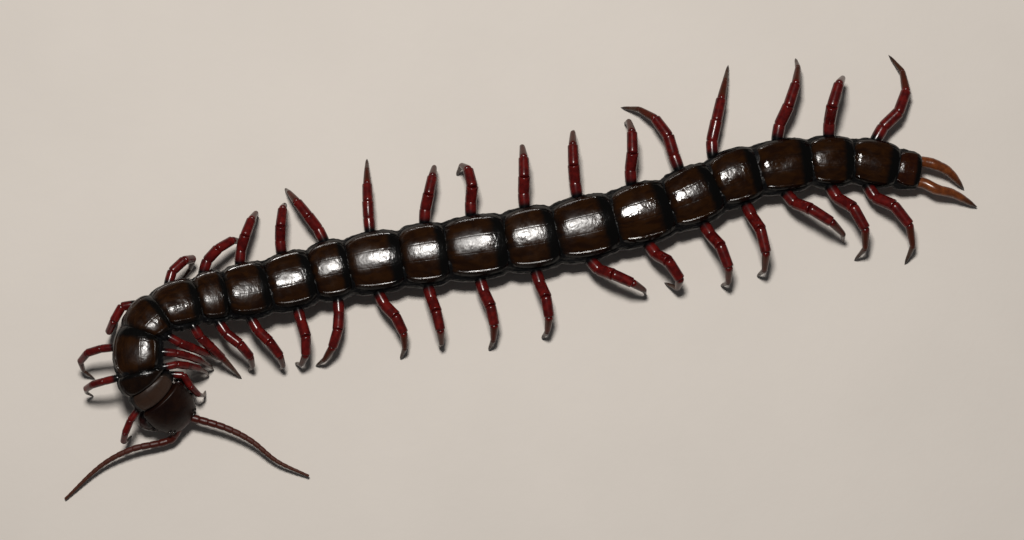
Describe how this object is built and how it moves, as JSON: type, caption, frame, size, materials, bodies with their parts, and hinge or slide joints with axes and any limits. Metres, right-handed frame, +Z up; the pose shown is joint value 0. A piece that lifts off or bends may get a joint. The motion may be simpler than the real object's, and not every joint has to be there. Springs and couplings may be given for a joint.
{
  "type": "giant centipede",
  "caption": "Life-size giant centipede on its feet, front curled round and head bent down, with plated back, poison claws, feelers, walking legs and trailing last legs.",
  "frame": {"origin": "on the floor under the middle of the model's bounding box", "axes": "+X towards the tail, +Z up; the front of the body curls round to the animal's left at -X"},
  "size_m": [0.1617, 0.0803, 0.0141],
  "materials": {
    "shell": "glossy dark brown back plates with blackish edges, duller blue-black skin at the sides",
    "head": "satin dark brown",
    "claw": "glossy dark red-brown with black tips",
    "leg": "glossy deep red with darker brown ends",
    "feeler": "satin red-brown",
    "tail_leg": "glossy orange-brown with dark tips"
  },
  "bodies": {
    "root": {"trunk_1": "shell", "trunk_2": "shell", "trunk_3": "shell", "trunk_4": "shell", "trunk_5": "shell", "trunk_6": "shell", "trunk_7": "shell", "head": "head", "claw_base": "claw", "claw_left": "claw", "claw_right": "claw", "antenna_left": "feeler", "antenna_right": "feeler", "leg_01_left": "leg", "leg_01_right": "leg", "leg_02_left": "leg", "leg_02_right": "leg", "leg_03_left": "leg", "leg_03_right": "leg", "leg_04_left": "leg", "leg_04_right": "leg", "leg_05_left": "leg", "leg_05_right": "leg", "leg_06_left": "leg", "leg_06_right": "leg", "leg_07_left": "leg", "leg_07_right": "leg", "leg_08_left": "leg", "leg_08_right": "leg", "leg_09_left": "leg", "leg_09_right": "leg", "leg_10_left": "leg", "leg_10_right": "leg", "leg_11_left": "leg", "leg_11_right": "leg", "leg_12_left": "leg", "leg_12_right": "leg", "leg_13_left": "leg", "leg_13_right": "leg", "leg_14_left": "leg", "leg_14_right": "leg", "leg_15_left": "leg", "leg_15_right": "leg", "leg_16_left": "leg", "leg_16_right": "leg", "leg_17_left": "leg", "leg_17_right": "leg", "leg_18_left": "leg", "leg_18_right": "leg", "leg_19_left": "leg", "leg_19_right": "leg", "leg_20_left": "leg", "leg_20_right": "leg", "tail_leg_left": "tail_leg", "tail_leg_right": "tail_leg"}
  },
  "joints": []
}
